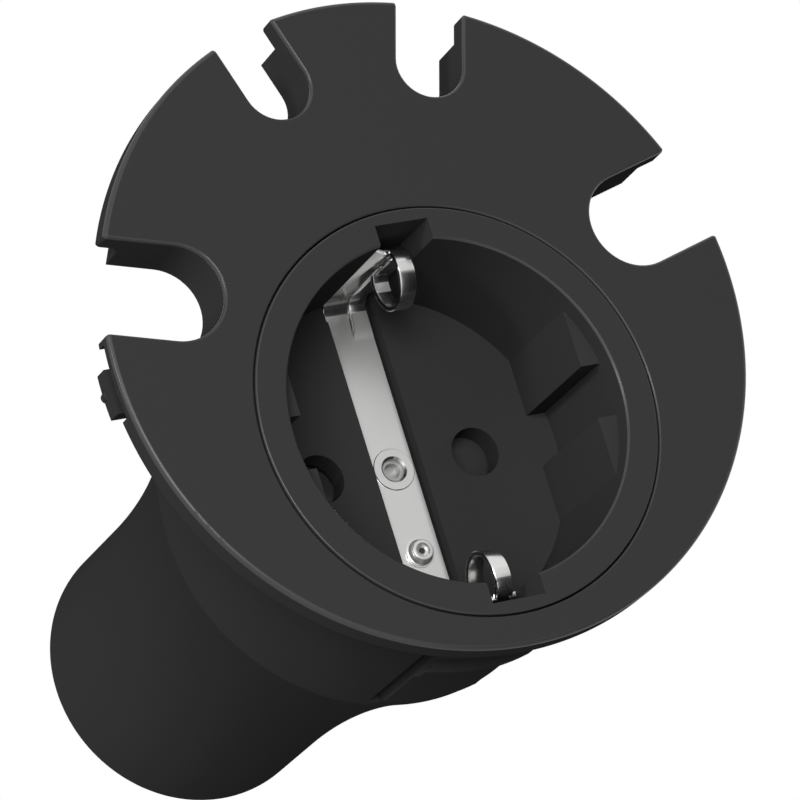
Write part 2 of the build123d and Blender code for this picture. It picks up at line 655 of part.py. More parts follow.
def contact_ring(side):
    """Split steel band that keeps the contact sleeve sprung on the plug pin."""
    outer = SLEEVE_BORE + SLEEVE_WALL
    bottom = -RING_BAND_TOP - RING_BAND_W
    half_slit = SLEEVE_SLIT / 2
    band = tube(outer + RING_BAND_T, outer, -RING_BAND_TOP, bottom)
    band -= block(0, outer + PAST, -half_slit, half_slit, bottom - PAST, -RING_BAND_TOP + PAST)
    if side < 0:
        band = mirror(band, about=Plane.YZ)
    return at_socket(Pos(side * PIN_X, 0, 0) * band)


def cage_bottom():
    """Lower level of the terminal cages."""
    return -CARRIER_END - CAGE_H


def rod_along_x(radius, length):
    """Cylinder that starts at the origin and runs along +X."""
    return Rot(0, 90, 0) * disc(radius, length, 0)


def terminal_cage():
    """Brass cage drawn with its tail strip at x from 0 and its screw wall outwards along X."""
    room = TAIL_STRIP_T + CAGE_WIRE_ROOM
    half_w = CAGE_W / 2
    inner_w = half_w - CAGE_SIDE_WALL
    cage = block(-CAGE_INNER_WALL, room + CAGE_OUTER_WALL, -half_w, half_w, cage_bottom(), -CARRIER_END)
    cage -= block(0, room, -inner_w, inner_w, cage_bottom() - PAST, -CARRIER_END + PAST)
    middle = cage_bottom() + CAGE_H / 2
    cage -= Pos(room, 0, middle) * rod_along_x(TERMINAL_SCREW_R, CAGE_OUTER_WALL + PAST)
    return cage


def terminal_screw():
    """Slotted clamping screw of a cage, drawn in the cage's own frame."""
    room = TAIL_STRIP_T + CAGE_WIRE_ROOM
    outside = room + CAGE_OUTER_WALL
    middle = cage_bottom() + CAGE_H / 2
    tip = TAIL_STRIP_T + CAGE_WIRE_ROOM / 2
    screw = Pos(tip, 0, middle) * rod_along_x(TERMINAL_SCREW_R, outside - tip)
    screw += Pos(outside, 0, middle) * rod_along_x(TERMINAL_HEAD_R, TERMINAL_HEAD_T)
    end = outside + TERMINAL_HEAD_T
    screw -= block(
        end - DRIVE_SLOT_D,
        end + PAST,
        -TERMINAL_HEAD_R - PAST,
        TERMINAL_HEAD_R + PAST,
        middle - DRIVE_SLOT_W / 2,
        middle + DRIVE_SLOT_W / 2,
    )
    return screw


def at_pin_terminal(shape, side):
    """Place a cage-frame shape at one of the two pin contacts."""
    strip_x = PIN_X - SLEEVE_BORE - SLEEVE_WALL
    placed = Pos(strip_x, 0, 0) * shape
    if side < 0:
        placed = mirror(placed, about=Plane.YZ)
    return at_socket(placed)


def at_earth_terminal(shape):
    """Place a cage-frame shape at the earth link, pointing away along -Y."""
    return at_socket(Pos(0, LINK_DROP_Y, 0) * (Rot(0, 0, -90) * shape))


def carrier_screw(index):
    """Pan-head screw that draws the carrier against the insert."""
    x, y = screw_places()[index]
    seat = SCREW_SEAT_Z
    shank = disc(CARRIER_SCREW_R, FLOOR_UNDER_Z + CARRIER_SCREW_TIP, seat)
    head = disc(CARRIER_HEAD_R, seat, seat - CARRIER_HEAD_T)
    screw = shank + head
    bottom = seat - CARRIER_HEAD_T
    half_slot = DRIVE_SLOT_W / 2
    for turn in (0, 90):
        slot = block(-CARRIER_CROSS, CARRIER_CROSS, -half_slot, half_slot, -PAST, DRIVE_SLOT_D)
        screw -= Pos(0, 0, bottom) * (Rot(0, 0, turn) * slot)
    return at_socket(Pos(x, y, 0) * screw)


def cord_clamp():
    """Clamp bar that presses the supply cable against the saddle."""
    top = clamp_z() + CLAMP_LENGTH / 2
    bottom = clamp_z() - CLAMP_LENGTH / 2
    bar = block(-SADDLE_W / 2, SADDLE_W / 2, -CLAMP_GAP / 2 - CLAMP_T, -CLAMP_GAP / 2, bottom, top)
    bar = fillet(bar.edges().filter_by(Axis.Z).group_by(Axis.Y)[0], CLAMP_FILLET)
    bar -= disc(CABLE_R, top + PAST, bottom - PAST)
    hole = Rot(-90, 0, 0) * Cylinder(CLAMP_SCREW_R, 3 * CLAMP_T)
    for side in (-1, 1):
        bar -= Pos(side * CLAMP_SCREW_X, -CLAMP_T / 2, clamp_z()) * hole
    return at_socket(bar)


def clamp_screw(side):
    """Slotted screw of the cord clamp."""
    seat_y = -CLAMP_GAP / 2 - CLAMP_T
    screw = Rot(-90, 0, 0) * disc(CLAMP_SCREW_R, CLAMP_SCREW_LENGTH, -CLAMP_HEAD_T)
    screw += Rot(-90, 0, 0) * disc(CLAMP_HEAD_R, 0, -CLAMP_HEAD_T)
    screw -= block(
        -CLAMP_HEAD_R - PAST,
        CLAMP_HEAD_R + PAST,
        -CLAMP_HEAD_T - PAST,
        -CLAMP_HEAD_T + DRIVE_SLOT_D,
        -DRIVE_SLOT_W / 2,
        DRIVE_SLOT_W / 2,
    )
    return at_socket(Pos(side * CLAMP_SCREW_X, seat_y, clamp_z()) * screw)


def bottle(offset, top, end):
    """Solid of the hood's outer form, or of its inside at a wall's distance."""
    middle = (HOOD_STRAIGHT + TUBE_START) / 2
    r_top = flare_at(HOOD_STRAIGHT, offset)
    r_mid = flare_at(middle, offset)
    r_tube = TUBE_R - offset
    lines = [
        Line((0, top), (r_top, top)),
        Line((r_top, top), (r_top, -HOOD_STRAIGHT)),
        ThreePointArc((r_top, -HOOD_STRAIGHT), (r_mid, -middle), (r_tube, -TUBE_START)),
        Line((r_tube, -TUBE_START), (r_tube, -end)),
        Line((r_tube, -end), (0, -end)),
        Line((0, -end), (0, top)),
    ]
    return revolve(make_face(Plane.XZ * Wire(lines)), axis=Axis.Z)


def latch_nose():
    """Ramped nose across the outside of the latch tongue."""
    inside = HOOD_R - HOOD_WALL / 2
    section = Polyline(
        (inside, -NOSE_TOP),
        (NOSE_R, -NOSE_LOW + NOSE_FLAT),
        (NOSE_R, -NOSE_LOW),
        (TONGUE_R, -NOSE_FOOT),
        (inside, -NOSE_FOOT),
        close=True,
    )
    ring = revolve(make_face(Plane.XZ * section), axis=Axis.Z)
    return ring & block(-NOSE_W / 2, NOSE_W / 2, -NOSE_R - PAST, 0, -TONGUE_END, 0)


def body_shell():
    """Bottle-shaped hood: straight top with a latch tongue, hollow flare and a flat-ended cable tube."""
    ledge_z = CARRIER_TOP_Z - CARRIER_FLANGE_T
    hood = bottle(0, 0, HOOD_END)
    hood = chamfer(hood.edges().filter_by(GeomType.CIRCLE).group_by(Axis.Z)[0], HOOD_EDGE)
    half_w = TONGUE_W / 2
    hood += disc(TONGUE_R, 0, -TONGUE_END) & block(-half_w, half_w, -TONGUE_R - PAST, 0, -TONGUE_END, 0)
    hood += latch_nose()
    hood -= bottle(HOOD_WALL, 1, HOOD_END - HOOD_FLOOR) & disc(LEDGE_R, 2, -HOOD_END)
    hood -= disc(SKIRT_R + FIT_GAP, 1, ledge_z)
    snap_half = SNAP_RIB_LENGTH / 2 + FIT_GAP
    hood -= disc(SKIRT_R + SNAP_RIB_H + FIT_GAP, SNAP_RIB_Z + snap_half, SNAP_RIB_Z - snap_half)
    for side in (-1, 1):
        x0, x1 = sorted((side * half_w, side * (half_w + TONGUE_SLOT_W)))
        hood -= block(x0, x1, -HOOD_R - PAST, 0, -TONGUE_SLOT_END, 1)
    hood -= disc(BUSH_NECK_R, -HOOD_END + HOOD_FLOOR + PAST, -HOOD_END - PAST)
    return at_socket(hood)


def cable_bush():
    """Rubber bush in the round cable opening of the hood."""
    outside = -HOOD_END
    inside = outside + HOOD_FLOOR
    bush = disc(BUSH_FLANGE_R, outside, outside - BUSH_OUTER_T)
    bush += disc(BUSH_NECK_R, inside, outside)
    bush += disc(BUSH_INNER_R, inside + BUSH_INNER_T, inside)
    bush = fillet(bush.edges().filter_by(GeomType.CIRCLE).group_by(Axis.Z)[0], BUSH_FILLET)
    bush -= disc(BUSH_BORE_R, inside + BUSH_INNER_T + PAST, outside - BUSH_OUTER_T - PAST)
    return at_socket(bush)


def main_parts():
    """Every piece of the socket by the name of its node."""
    pieces = {
        "cover_flange": cover_flange(),
        "socket_front": socket_front(),
        "earth_strap": earth_strap(),
        "earth_rivet": earth_rivet(),
        "earth_link": earth_link(),
        "shutter": shutter(),
        "shutter_spring": shutter_spring(),
        "contact_carrier": contact_carrier(),
        "cord_clamp": cord_clamp(),
        "body_shell": body_shell(),
        "cable_bush": cable_bush(),
        "earth_terminal": at_earth_terminal(terminal_cage()),
        "earth_screw": at_earth_terminal(terminal_screw()),
    }
    for name, side in (("line", 1), ("neutral", -1)):
        pieces[name + "_contact"] = pin_contact(side)
        pieces[name + "_contact_ring"] = contact_ring(side)
        pieces[name + "_terminal"] = at_pin_terminal(terminal_cage(), side)
        pieces[name + "_screw"] = at_pin_terminal(terminal_screw(), side)
    for index, letter in enumerate("ab"):
        pieces["carrier_screw_" + letter] = carrier_screw(index)
        pieces["clamp_screw_" + letter] = clamp_screw((-1, 1)[index])
    return pieces


os.makedirs("parts", exist_ok=True)
for name, shape in main_parts().items():
    export_step(shape, "parts/" + name + ".step")
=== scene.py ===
import bmesh
import bpy
from math import cos, hypot, pi, radians, sin, sqrt
from mathutils import Matrix, Vector


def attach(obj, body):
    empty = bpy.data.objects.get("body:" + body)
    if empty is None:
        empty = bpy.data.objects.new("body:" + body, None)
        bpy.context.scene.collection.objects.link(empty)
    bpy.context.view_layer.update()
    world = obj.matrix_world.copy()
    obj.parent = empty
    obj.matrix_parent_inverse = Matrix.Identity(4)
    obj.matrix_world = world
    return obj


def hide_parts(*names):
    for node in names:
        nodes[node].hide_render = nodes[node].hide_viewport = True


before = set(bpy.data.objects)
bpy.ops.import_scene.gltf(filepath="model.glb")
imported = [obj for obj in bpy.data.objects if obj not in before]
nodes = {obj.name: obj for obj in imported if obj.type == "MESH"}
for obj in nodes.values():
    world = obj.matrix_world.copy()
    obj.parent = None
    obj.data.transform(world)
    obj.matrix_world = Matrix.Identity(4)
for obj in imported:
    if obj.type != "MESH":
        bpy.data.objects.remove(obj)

# Cover flange
# One moulding of matt black plastic: round plate, spigot, notch walls, ribs and side catches. It
# carries the insert in its round hole. The rim is rounded, and the crisp edges have a fine bevel.
# The bevels take a lighter, glossier copy of the plastic: a painted highlight along the edges, with
# real gloss that catches the lamps.
bevel_above, sharp_above = radians(28), radians(24)
grain_height, patch_scale = 0.00005, 260.0


def new_object(name, verts, faces):
    """Closed mesh from millimetre coordinates, with its normals outwards."""
    mesh = bpy.data.meshes.new(name)
    mesh.from_pydata(verts, [], faces)
    bm = bmesh.new()
    bm.from_mesh(mesh)
    bmesh.ops.recalc_face_normals(bm, faces=bm.faces)
    bm.to_mesh(mesh)
    bm.free()
    obj = bpy.data.objects.new(name, mesh)
    bpy.context.scene.collection.objects.link(obj)
    return obj


def freeze(obj):
    """Turn the modifiers of a piece into its mesh."""
    graph = bpy.context.evaluated_depsgraph_get()
    mesh = bpy.data.meshes.new_from_object(obj.evaluated_get(graph))
    obj.modifiers.clear()
    obj.data = mesh


def make_whole(obj, weld_gap, angle):
    """Add the modifiers that join doubled points and dissolve the edges in flat faces."""
    weld = obj.modifiers.new("weld", "WELD")
    weld.merge_threshold = weld_gap
    flat = obj.modifiers.new("flat", "DECIMATE")
    flat.decimate_type = "DISSOLVE"
    flat.angle_limit = radians(angle)


def copy_of(node, name):
    """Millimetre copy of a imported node, with its flat faces made whole again."""
    obj = bpy.data.objects.new(name, nodes[node].data.copy())
    bpy.context.scene.collection.objects.link(obj)
    obj.data.transform(Matrix.Scale(1000, 4))
    make_whole(obj, 0.002, 0.2)
    freeze(obj)
    return obj


def combine(target, others, how):
    """Boolean of a solid with others, which are then removed."""
    for other in others:
        modifier = target.modifiers.new("boolean", "BOOLEAN")
        modifier.operation = how
        modifier.solver = "EXACT"
        modifier.object = other
        freeze(target)
        bpy.data.objects.remove(other)


def circle(radius, x=0.0, y=0.0, steps=96):
    """Points of a circle."""
    turns = [2 * pi * i / steps for i in range(steps)]
    return [(x + radius * cos(t), y + radius * sin(t)) for t in turns]


def arc(x, y, radius, start, end, count):
    """Points along an arc, angles in degrees."""
    turns = [radians(start + (end - start) * i / count) for i in range(count + 1)]
    return [(x + radius * cos(t), y + radius * sin(t)) for t in turns]


def lathe(name, profile, y=0.0, steps=180):
    """Solid turned about an upright axis from a closed profile of radius and height."""
    verts, rings = [], []
    for r, z in profile:
        points = [(0.0, y)] if r < 1e-6 else circle(r, 0.0, y, steps)
        rings.append(list(range(len(verts), len(verts) + len(points))))
        verts += [(a, b, z) for a, b in points]
    faces = []
    for ring, other in zip(rings, rings[1:] + rings[:1]):
        if len(ring) == len(other) == 1:
            continue
        for i in range(steps):
            j = (i + 1) % steps
            if len(ring) == 1:
                faces.append([ring[0], other[i], other[j]])
            elif len(other) == 1:
                faces.append([ring[i], ring[j], other[0]])
            else:
                faces.append([ring[i], ring[j], other[j], other[i]])
    return new_object(name, verts, faces)


def shader(
    name, colour, roughness, metallic=0.0, specular=0.5, grain=0.0, grain_scale=4000.0, uneven=0.0
):
    """Principled material with a fine grain in its surface and uneven patches in its gloss."""
    material = bpy.data.materials.new(name)
    material.use_nodes = True
    tree = material.node_tree
    principled = tree.nodes["Principled BSDF"]
    principled.inputs["Base Color"].default_value = (*colour, 1.0)
    principled.inputs["Roughness"].default_value = roughness
    principled.inputs["Metallic"].default_value = metallic
    principled.inputs["Specular IOR Level"].default_value = specular
    if not grain and not uneven:
        return material
    coordinates = tree.nodes.new("ShaderNodeTexCoord")
    if grain:
        noise = tree.nodes.new("ShaderNodeTexNoise")
        noise.inputs["Scale"].default_value = grain_scale
        noise.inputs["Detail"].default_value = 3.0
        bump = tree.nodes.new("ShaderNodeBump")
        bump.inputs["Strength"].default_value = grain
        bump.inputs["Distance"].default_value = grain_height
        tree.links.new(coordinates.outputs["Object"], noise.inputs["Vector"])
        tree.links.new(noise.outputs["Fac"], bump.inputs["Height"])
        tree.links.new(bump.outputs["Normal"], principled.inputs["Normal"])
    if uneven:
        patches = tree.nodes.new("ShaderNodeTexNoise")
        patches.inputs["Scale"].default_value = patch_scale
        patches.inputs["Detail"].default_value = 4.0
        spread = tree.nodes.new("ShaderNodeMapRange")
        spread.inputs["To Min"].default_value = roughness - uneven
        spread.inputs["To Max"].default_value = roughness + uneven
        tree.links.new(coordinates.outputs["Object"], patches.inputs["Vector"])
        tree.links.new(patches.outputs["Fac"], spread.inputs["Value"])
        tree.links.new(spread.outputs["Result"], principled.inputs["Roughness"])
    return material


def smooth(mesh):
    """Smooth shading with the sharp edges kept."""
    mesh.shade_smooth()
    mesh.set_sharp_from_angle(angle=sharp_above)


def dress(obj, stands_for, material, bevel=0.0, edge=None, tilted=(0.15, 0.985)):
    """Bevel a piece, shade it, turn it to metres and put it in the place of its node.

    Faces whose upward part is within tilted take the edge material; on the plastics that is a
    lighter, glossier copy, a painted highlight along the bevels.
    """
    weld = obj.modifiers.new("weld", "WELD")
    weld.merge_threshold = 0.0005
    if bevel:
        modifier = obj.modifiers.new("bevel", "BEVEL")
        modifier.width = bevel
        modifier.segments = 2
        modifier.limit_method = "ANGLE"
        modifier.angle_limit = bevel_above
        modifier.miter_outer = "MITER_ARC"
    freeze(obj)
    obj.data.transform(Matrix.Scale(0.001, 4))
    smooth(obj.data)
    weighted = obj.modifiers.new("normals", "WEIGHTED_NORMAL")
    weighted.keep_sharp = True
    obj.data.materials.clear()
    obj.data.materials.append(material)
    if edge:
        obj.data.materials.append(edge)
        for face in obj.data.polygons:
            face.material_index = 1 if tilted[0] < face.normal.z < tilted[1] else 0
    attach(obj, "socket")
    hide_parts(stands_for)


plate_top = 2.65
rim_r = 36.93
rim_round = 0.6
spigot_below = -9
flange_plastic = shader("flange_plastic", (0.042, 0.042, 0.0425), 0.42, specular=0.0, grain=0.2)
# Lighter, glossier copy of the plastic for the tilted bevels: a painted highlight along the edges.
painted_highlight_edge = shader("painted_highlight_edge", (0.047, 0.047, 0.0475), 0.3, specular=0.25)
cover = copy_of("cover_flange", "cover")
rim = [(0, spigot_below), (rim_r, spigot_below)]
rim += arc(rim_r - rim_round, plate_top - rim_round, rim_round, 0, 90, 8) + [(0, plate_top)]
combine(cover, [lathe("keep", rim, steps=360)], "INTERSECT")
dress(cover, "cover_flange", flange_plastic, bevel=0.1, edge=painted_highlight_edge)

# Socket insert
# One moulding of matt black plastic: ring, round well, floor and skirt, with flat side guides in
# the well. The ring fills the flange's round hole, and the hood is pushed over the skirt. The floor
# has the pin holes, the strap groove and the holes for the strap's collar and rivet.


def skin(name, verts, count):
    """Solid through rows of points, all rows of the same count."""
    faces = [list(range(count))[::-1], list(range(len(verts) - count, len(verts)))]
    for k in range(len(verts) // count - 1):
        row, above = k * count, (k + 1) * count
        for i in range(count):
            j = (i + 1) % count
            faces.append([row + i, row + j, above + j, above + i])
    return new_object(name, verts, faces)


def prism(name, outline, low, high):
    """Upright prism of one outline."""
    return skin(name, [(x, y, z) for z in (low, high) for x, y in outline], len(outline))


def brick(name, x0, x1, y0, y1, z0, z1):
    """Box between two corners."""
    return prism(name, [(x0, y0), (x1, y0), (x1, y1), (x0, y1)], z0, z1)


socket_y = -10.33
ring_r = 22.95
ring_top = 2.7
ring_round = 0.22
ring_under = 0.02
well_r = 19.4
well_floor = -14.9
floor_under = -18.0
skirt_r, skirt_inside, skirt_end = 21.9, 19.9, -21.6
guide_x, guide_low_y, guide_high_y = 16.9, 3.0, 9.65
guide_back, guide_back_r = 19.3, 19.6
guide_bottom, guide_top = -15.0, 0.2
notch_half, notch_inner, notch_outer, notch_top = 3.15, 17.4, 21.5, 4
groove_half, groove_reach, groove_floor = 2.95, 18, -16.9
pin_x, pin_hole_r = 9.5, 2.8
rivet_y, rivet_hole_r = -9.7, 1.2
boss_hole_r = 2.05
above_floor, below_floor = -14, -19

insert_plastic = shader("insert_plastic", (0.042, 0.042, 0.0425), 0.42, specular=0.0, grain=0.2)
insert_profile = [(ring_r, ring_under), (ring_r, ring_top - ring_round)]
insert_profile += arc(ring_r - ring_round, ring_top - ring_round, ring_round, 10, 90, 6)
insert_profile += [(well_r + ring_round, ring_top), (well_r, ring_top - ring_round)]
insert_profile += [(well_r, well_floor), (0, well_floor), (0, floor_under)]
insert_profile += [(skirt_inside, floor_under), (skirt_inside, skirt_end)]
insert_profile += [(skirt_r, skirt_end), (skirt_r, ring_under)]
insert = lathe("insert", insert_profile, y=socket_y, steps=220)
guides, cuts = [], []
for side in (-1, 1):
    for end in (-1, 1):
        plan = [(guide_x, guide_low_y), (guide_back, guide_low_y)]
        plan += arc(0, 0, guide_back_r, 9, 30, 12) + [(guide_x, guide_high_y)]
        plan = [(side * x, socket_y + end * y) for x, y in plan]
        guides.append(prism("guide", plan, guide_bottom, guide_top))
    y0, y1 = sorted((side * notch_inner, side * notch_outer))
    notch = (-notch_half, notch_half, socket_y + y0, socket_y + y1, groove_floor, notch_top)
    cuts.append(brick("earth_notch", *notch))
    pin = circle(pin_hole_r, side * pin_x, socket_y)
    cuts.append(prism("pin_hole", pin, below_floor, above_floor))
groove_ends = (socket_y - groove_reach, socket_y + groove_reach)
cuts.append(brick("groove", -groove_half, groove_half, *groove_ends, groove_floor, above_floor))
rivet_hole = circle(rivet_hole_r, 0, socket_y + rivet_y, 48)
boss_hole = circle(boss_hole_r, 0, socket_y, 64)
cuts.append(prism("rivet_hole", rivet_hole, below_floor, above_floor))
cuts.append(prism("boss_hole", boss_hole, below_floor, above_floor))
combine(insert, guides, "UNION")
combine(insert, cuts, "DIFFERENCE")
# The insert's tilted bevels take the lighter, glossier edge copy: a painted highlight along its
# edges.
dress(insert, "socket_front", insert_plastic, bevel=0.12, edge=painted_highlight_edge)

# Earth strap
# One stamping of nickel-plated sheet, laid in the floor groove and riveted down, with a tapped
# collar. Each end is slit into a post with a folded edge and a finger that rolls over into the
# contact loop. The flats are satin, and the bent parts are bright.


def left_normal(path, i):
    """Unit normal of a path of Y and Z at one of its points, to its left."""
    p, q = path[max(i - 1, 0)], path[min(i + 1, len(path) - 1)]
    dy, dz = q[0] - p[0], q[1] - p[1]
    size = hypot(dy, dz)
    return -dz / size, dy / size


def band(name, path, thickness, end, x0, x1):
    """Bent sheet of even thickness across X, along a centre line of Y and Z."""
    normals = [left_normal(path, i) for i in range(len(path))]
    outline = []
    for h in (thickness / 2, -thickness / 2):
        line = [(y + ny * h, z + nz * h) for (y, z), (ny, nz) in zip(path, normals)]
        outline += line if h > 0 else line[::-1]
    verts = [(x, socket_y + end * y, z) for x in (x0, x1) for y, z in outline]
    return skin(name, verts, len(outline))


def finger_row(path, i, end):
    """Cross-section of the finger at a point of its path, with its left edge rounded."""
    y, z = path[i]
    ny, nz = left_normal(path, i)
    left = finger_x - slit_slope * max(bend_y - y, 0)
    k = min(max((y - slit_start) / 1.4, 0.04), 1)
    row = [(left, -sheet / 2), (strap_half, -sheet / 2), (strap_half, sheet / 2)]
    row += [(left + 0.32 * k, sheet / 2), (left + 0.13 * k, sheet / 2 - 0.06 * k)]
    row += [(left + 0.04 * k, sheet / 2 - 0.15 * k), (left, sheet / 2 - 0.3 * k)]
    return [(x, socket_y + end * (y + ny * h), z + nz * h) for x, h in row]


strap_half, strap_reach = 2.65, 15
strap_top = -16.2
sheet = 0.7
bend_y, bend_z = 18.15, -14.7
slit_start, slit_slope = 14.9, 0.135
post_x, post_depth, finger_x = 0.41, 0.65, 0.39
loop_sheet, loop_left, loop_right = 0.58, -0.45, 1.48
edge_rounding = 0.15
collar_r = 2.4
bore_r = 1.25

strap_satin = shader(
    "strap_satin",
    (0.64, 0.637, 0.63),
    0.3,
    metallic=0.6,
    grain=0.04,
    grain_scale=900.0,
    uneven=0.03,
)
strap_steel = shader(
    "strap_steel", (0.7, 0.697, 0.69), 0.22, metallic=1.0, grain=0.03, grain_scale=900.0
)
# Darker, duller steel for the collar's bore: painted shade inside the hole.
bore_painted_shade = shader("bore_painted_shade", (0.42, 0.42, 0.415), 0.4, metallic=0.6)
strap_ends = (socket_y - strap_reach, socket_y + strap_reach)
strap = brick("strap", -strap_half, strap_half, *strap_ends, groove_floor, strap_top)
flat_plan = [(-strap_half, 14.8), (-0.04, 14.8), (post_x, 18.12), (-strap_half, 18.12)]
riser = [(18.1, -16.55)] + arc(bend_y, bend_z, 1.85, -90, 0, 12) + [(20.0, -14.3)]
finger = [(14.8, -16.56), (15.0, -16.55), (15.4, -16.52), (15.9, -16.47)]
finger += [(16.4, -16.45), (17.2, -16.45)]
finger += arc(bend_y, bend_z, 1.75, -90, 0, 12)
finger += [(19.77, -11), (19.68, -7), (19.63, -4), (19.62, -2.6)]
loop = [(19.7, -5.0), (19.72, -3.2), (19.68, -2.4), (19.5, -1.6)]
loop += arc(17.6, -3.8, 3.3, 48, 298, 60)
# Each level of the post: its outer corner, the corner of its fold, its inner side and its height.
post = [
    ((-2.65, 19.65), (-2.35, 19.65), 0.41, -14.5),
    ((-2.1, 19.98), (-1.3, 19.64), 0.41, -9.0),
    ((-1.95, 20.15), (-0.85, 19.6), 0.41, -4.2),
    ((-1.9, 20.2), (-0.75, 19.58), 0.3, -3.2),
    ((-1.85, 20.2), (-0.72, 19.55), -0.15, -1.7),
]
for end in (-1, 1):
    flat = prism("flat", [(x, socket_y + end * y) for x, y in flat_plan], groove_floor, strap_top)
    rows = [point for i in range(len(finger)) for point in finger_row(finger, i, end)]
    raised = skin("finger", rows, 7)
    base = band("riser", riser, sheet, end, -strap_half, post_x)
    rolled = band("loop", loop, loop_sheet, end, loop_left, loop_right)
    verts = []
    for corner, fold, inner_x, z in post:
        plan = [corner, fold, (inner_x, fold[1])]
        plan += [(x, y + post_depth) for x, y in plan[::-1]]
        verts += [(x, socket_y + end * y, z) for x, y in plan]
    combine(strap, [flat, raised, base, rolled, skin("post", verts, 6)], "UNION")
make_whole(strap, 0.01, 0.5)
rounding = strap.modifiers.new("bevel", "BEVEL")
rounding.width = edge_rounding
rounding.segments = 3
rounding.limit_method = "ANGLE"
rounding.angle_limit = bevel_above
rounding.use_clamp_overlap = False
freeze(strap)
collar = [(0, -17.8), (1.95, -17.8), (1.95, -16.4), (collar_r, -16.3), (collar_r, -16.12)]
collar += [(2.33, -16.05), (0, -16.05)]
combine(strap, [lathe("collar", collar, y=socket_y, steps=72)], "UNION")
bore = [(0, -17.7), (0.9, -17.7), (0.9, -16.7), (bore_r, -16.7), (bore_r, -16.25)]
bore += [(1.5, -16.05), (1.5, -15.5), (0, -15.5)]
rivet_plan = circle(rivet_hole_r, 0, socket_y + rivet_y, 52)
cuts = [lathe("bore", bore, y=socket_y, steps=60), prism("rivet_hole", rivet_plan, -18, -15)]
combine(strap, cuts, "DIFFERENCE")
dress(strap, "earth_strap", strap_satin, edge=strap_steel, tilted=(-1.1, 0.985))
# Faces inside the collar's bore take the darker steel: painted shade inside the hole.
strap.data.materials.append(bore_painted_shade)
for face in strap.data.polygons:
    out = hypot(face.center.x, face.center.y - socket_y / 1000)
    if out < 0.00135 and face.center.z < strap_top / 1000:
        face.material_index = 2

# Hollow rivet
# A turned stub of bright plated metal that ties the strap through the floor to the earth link. Its
# top is dished and rounded, its foot spreads on the strap, and its lower end is headed.
rivet_metal = shader("rivet_metal", (0.66, 0.66, 0.65), 0.35, metallic=0.86, uneven=0.03)
rivet_profile = [(0.45, -19.4), (1.9, -19.4), (1.9, -18.8), (rivet_hole_r, -18.8)]
rivet_profile += [(rivet_hole_r, -16.22), (1.7, -16.2), (1.7, -16.1)]
rivet_profile += arc(1.6, -15.7, 0.4, 260, 182, 8)
rivet_profile += [(rivet_hole_r, -15.25)] + arc(1.08, -15.22, 0.12, 0, 90, 5)
rivet_profile += [(0.82, -15.1), (0.76, -15.16), (0.62, -15.3), (0.4, -15.36), (0.34, -15.45)]
rivet_profile += [(0.34, -18), (0.45, -18.2)]
dress(lathe("rivet", rivet_profile, y=socket_y + rivet_y, steps=64), "earth_rivet", rivet_metal)

# Shutter and its spring
# A two-armed moulding of smooth black plastic that turns under the floor and closes the pin holes,
# with a torsion spring of bright wire round its pivot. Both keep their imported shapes.


def give_finish(material, *names):
    """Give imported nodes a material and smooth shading."""
    for name in names:
        mesh = nodes[name].data
        mesh.materials.clear()
        mesh.materials.append(material)
        smooth(mesh)


shutter_plastic = shader("shutter_plastic", (0.03, 0.03, 0.031), 0.45, specular=0.4)
spring_steel = shader("spring_steel", (0.5, 0.5, 0.5), 0.28, metallic=1.0)
give_finish(shutter_plastic, "shutter")
give_finish(spring_steel, "shutter_spring")

# Contacts and terminals
# Rolled brass sleeves with split spring-steel bands, a stamped brass earth link, and brass cages
# with zinc-plated screws for the leads. They sit in a moulded carrier of black plastic, which two
# screws draw against the insert.
carrier_plastic = shader("carrier_plastic", (0.05, 0.05, 0.052), 0.5, grain=0.2)
contact_brass = shader("contact_brass", (0.78, 0.6, 0.3), 0.3, metallic=1.0, uneven=0.05)
screw_steel = shader("screw_steel", (0.6, 0.6, 0.58), 0.3, metallic=1.0, uneven=0.05)
give_finish(carrier_plastic, "contact_carrier")
give_finish(contact_brass, "line_contact", "neutral_contact", "earth_link")
give_finish(contact_brass, "line_terminal", "neutral_terminal", "earth_terminal")
give_finish(spring_steel, "line_contact_ring", "neutral_contact_ring")
give_finish(screw_steel, "line_screw", "neutral_screw", "earth_screw")
give_finish(screw_steel, "carrier_screw_a", "carrier_screw_b")

# Cord clamp
# A moulded bar of the carrier's black plastic. Two zinc-plated screws press it on the supply cable
# in the saddle at the carrier's tail.
give_finish(carrier_plastic, "cord_clamp")
give_finish(screw_steel, "clamp_screw_a", "clamp_screw_b")

# Rear hood
# A bottle-shaped moulding of matt black plastic with a flat, rounded end. Its collar is pushed over
# the insert's skirt, and a sprung latch tongue with a ramped nose is cut free at its lower side.


def hood_radius(z, inward=0.0):
    """Radius of the hood at a height on the hollow flare."""
    return neck_r + flare - sqrt((flare + inward) ** 2 - (z - neck_top) ** 2)


neck_r = 17.0
neck_top = -71.3
flare_top, flare_length, flare_reach = -25.8, 45.5, 6.7
hood_wall = 1.7
hood_end = -83.3
hood_end_round = 0.4
bush_r, bush_ledge = 5.2, -81.1
ledge_r, ledge_z = 20.6, -24.1
collar_inside, hood_edge = 22.0, -0.3
tongue_half, tongue_inside, tongue_outside, tongue_root = 5.7, 22.8, 24.0, -23.8
nose_half, nose_reach = 6.5, 25.0
slot_x, slot_half = 6.3, 0.6

